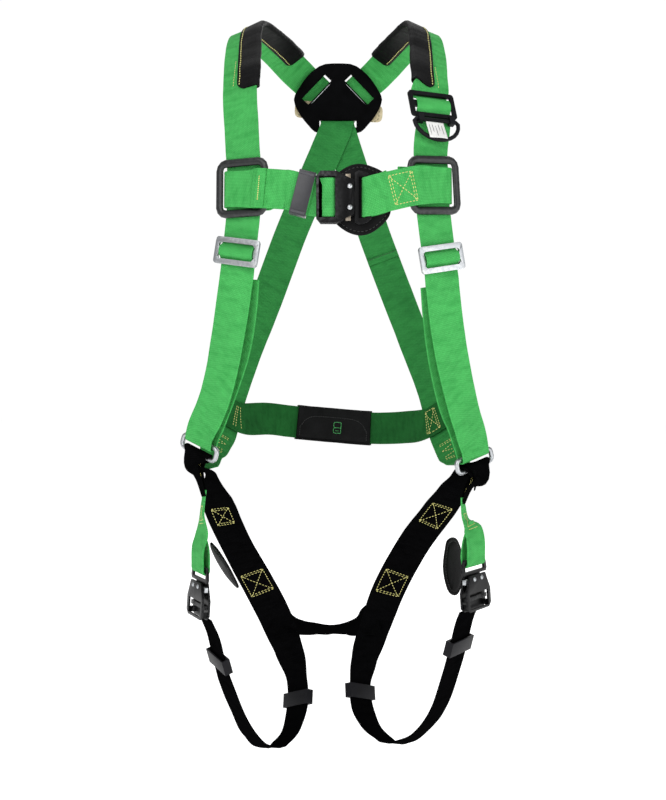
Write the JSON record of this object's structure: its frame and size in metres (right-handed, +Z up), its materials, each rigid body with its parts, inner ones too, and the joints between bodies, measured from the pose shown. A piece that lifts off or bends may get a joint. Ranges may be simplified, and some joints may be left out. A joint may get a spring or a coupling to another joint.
{
  "type": "climbing harness",
  "caption": "Full-body tree-climbing harness with dorsal ring, chest buckle, shoulder slides, waist strap and two buckled leg loops, in its worn shape.",
  "frame": {"origin": "top of the dorsal D-ring's opening, where the harness hangs", "axes": "+Z up, +X to the wearer's left, -Y to the wearer's front"},
  "size_m": [0.3939, 0.3638, 0.9422],
  "materials": {
    "green_webbing": "woven polyester webbing",
    "black_webbing": "woven polyester webbing",
    "black_leather": "soft grained leather",
    "tan_leather": "natural suede",
    "moulded_plastic": "fine moulded texture",
    "coated_steel": "dark coated forged steel",
    "zinc_steel": "bright zinc plating",
    "label_cloth": "printed cloth tag, blank"
  },
  "bodies": {
    "webbing": {"dorsal_plate": "moulded_plastic", "dorsal_keeper_band": "tan_leather", "right_shoulder_strap": "green_webbing", "right_back_strap": "green_webbing", "right_front_strap": "green_webbing", "left_shoulder_strap": "green_webbing", "left_back_strap": "green_webbing", "left_front_strap": "green_webbing", "waist_strap": "green_webbing", "right_shoulder_sleeve": "black_leather", "left_shoulder_sleeve": "black_leather", "right_chest_ring": "coated_steel", "left_chest_ring": "coated_steel", "right_chest_strap": "green_webbing", "left_chest_strap": "green_webbing", "right_chest_tail": "green_webbing", "chest_buckle_front_plate": "coated_steel", "chest_buckle_back_plate": "coated_steel", "chest_buckle_upper_rivet": "zinc_steel", "chest_buckle_lower_rivet": "zinc_steel", "chest_buckle_pad": "black_leather", "lanyard_keeper_frame": "moulded_plastic", "label_pouch": "black_leather", "right_hip_ring": "zinc_steel", "right_hip_loop": "black_webbing", "left_hip_ring": "zinc_steel", "left_hip_loop": "black_webbing", "right_leg_strap": "black_webbing", "right_leg_loop": "black_webbing", "left_leg_strap": "black_webbing", "left_leg_loop": "black_webbing", "seat_strap": "black_webbing", "right_leg_buckle_body": "coated_steel", "right_buckle_strap": "green_webbing", "right_leg_pad": "black_leather", "left_leg_buckle_body": "coated_steel", "left_buckle_strap": "green_webbing", "left_leg_pad": "black_leather"},
    "dorsal_ring": {"dorsal_d_ring": "coated_steel"},
    "lanyard_ring": {"lanyard_keeper_ring": "moulded_plastic", "lanyard_keeper_tag": "label_cloth"},
    "chest_tongue": {"chest_buckle_tongue": "coated_steel"},
    "chest_upper_tab": {"chest_buckle_upper_tab": "zinc_steel"},
    "chest_lower_tab": {"chest_buckle_lower_tab": "zinc_steel"},
    "chest_keeper": {"chest_strap_keeper": "moulded_plastic"},
    "pouch_flap": {"label_flap": "black_leather"},
    "right_shoulder_slide": {"right_slide": "zinc_steel", "right_slide_web": "green_webbing"},
    "right_leg_tongue": {"right_leg_buckle_tongue": "coated_steel"},
    "right_rear_tab": {"right_leg_buckle_rear_tab": "zinc_steel"},
    "right_front_tab": {"right_leg_buckle_front_tab": "zinc_steel"},
    "right_rear_keeper": {"right_rear_leg_keeper": "moulded_plastic"},
    "right_front_keeper": {"right_front_leg_keeper": "moulded_plastic"},
    "left_shoulder_slide": {"left_slide": "zinc_steel", "left_slide_web": "green_webbing"},
    "left_leg_tongue": {"left_leg_buckle_tongue": "coated_steel"},
    "left_rear_tab": {"left_leg_buckle_rear_tab": "zinc_steel"},
    "left_front_tab": {"left_leg_buckle_front_tab": "zinc_steel"},
    "left_rear_keeper": {"left_rear_leg_keeper": "moulded_plastic"},
    "left_front_keeper": {"left_front_leg_keeper": "moulded_plastic"}
  },
  "joints": [
    {"name": "dorsal_ring_swing", "type": "hinge", "parent": "webbing", "child": "dorsal_ring", "pos_m": [0, -0.034, -0.0325], "axis": [-1, 0, 0], "range_deg": [0, 120]},
    {"name": "lanyard_ring_swing", "type": "hinge", "parent": "webbing", "child": "lanyard_ring", "pos_m": [0.11302, -0.31141, -0.10836], "axis": [-0.9117, -0.4108, 0], "range_deg": [0, 135]},
    {"name": "chest_tongue_play", "type": "slide", "parent": "webbing", "child": "chest_tongue", "axis": [1, 0, 0], "range_m": [0, 0.002]},
    {"name": "chest_upper_tab_press", "type": "slide", "parent": "webbing", "child": "chest_upper_tab", "axis": [0, 0, -1], "range_m": [0, 0.0025], "stiffness_N_per_m": 800},
    {"name": "chest_lower_tab_press", "type": "slide", "parent": "webbing", "child": "chest_lower_tab", "axis": [0, 0, 1], "range_m": [0, 0.0025], "stiffness_N_per_m": 800},
    {"name": "right_leg_tongue_play", "type": "slide", "parent": "webbing", "child": "right_leg_tongue", "axis": [0.0599, 0.02, 0.998], "range_m": [0, 0.003]},
    {"name": "right_rear_tab_press", "type": "slide", "parent": "webbing", "child": "right_rear_tab", "axis": [0.4225, -0.9063, -0.0072], "range_m": [0, 0.0025], "stiffness_N_per_m": 800},
    {"name": "right_front_tab_press", "type": "slide", "parent": "webbing", "child": "right_front_tab", "axis": [-0.4225, 0.9063, 0.0072], "range_m": [0, 0.0025], "stiffness_N_per_m": 800},
    {"name": "left_leg_tongue_play", "type": "slide", "parent": "webbing", "child": "left_leg_tongue", "axis": [-0.0599, 0.02, 0.998], "range_m": [0, 0.003]},
    {"name": "left_rear_tab_press", "type": "slide", "parent": "webbing", "child": "left_rear_tab", "axis": [0.5812, 0.8136, 0.0186], "range_m": [0, 0.0025], "stiffness_N_per_m": 800},
    {"name": "left_front_tab_press", "type": "slide", "parent": "webbing", "child": "left_front_tab", "axis": [-0.5812, -0.8136, -0.0186], "range_m": [0, 0.0025], "stiffness_N_per_m": 800},
    {"name": "chest_keeper_slide", "type": "slide", "parent": "webbing", "child": "chest_keeper", "axis": [-0.987, 0.0304, 0.1578], "range_m": [0, 0.001]},
    {"name": "right_rear_keeper_slide", "type": "slide", "parent": "webbing", "child": "right_rear_keeper", "axis": [0.0303, 0.4412, 0.8969], "range_m": [-0.005, 0.005]},
    {"name": "right_front_keeper_slide", "type": "slide", "parent": "webbing", "child": "right_front_keeper", "axis": [-0.2187, -0.2689, 0.938], "range_m": [-0.015, 0.015]},
    {"name": "left_rear_keeper_slide", "type": "slide", "parent": "webbing", "child": "left_rear_keeper", "axis": [-0.0396, 0.4056, 0.9132], "range_m": [-0.003, 0.003]},
    {"name": "left_front_keeper_slide", "type": "slide", "parent": "webbing", "child": "left_front_keeper", "axis": [0.2098, -0.2123, 0.9544], "range_m": [-0.015, 0.015]},
    {"name": "right_shoulder_slide_travel", "type": "slide", "parent": "webbing", "child": "right_shoulder_slide", "axis": [0.1586, -0.0469, 0.9862], "range_m": [-0.02, 0.02]},
    {"name": "left_shoulder_slide_travel", "type": "slide", "parent": "webbing", "child": "left_shoulder_slide", "axis": [-0.1666, -0.0561, 0.9844], "range_m": [-0.02, 0.02]},
    {"name": "pouch_flap_lift", "type": "hinge", "parent": "webbing", "child": "pouch_flap", "pos_m": [-0.05396, -0.04522, -0.44187], "axis": [-0.9956, -0.0328, 0.0875], "range_deg": [0, 70]}
  ]
}
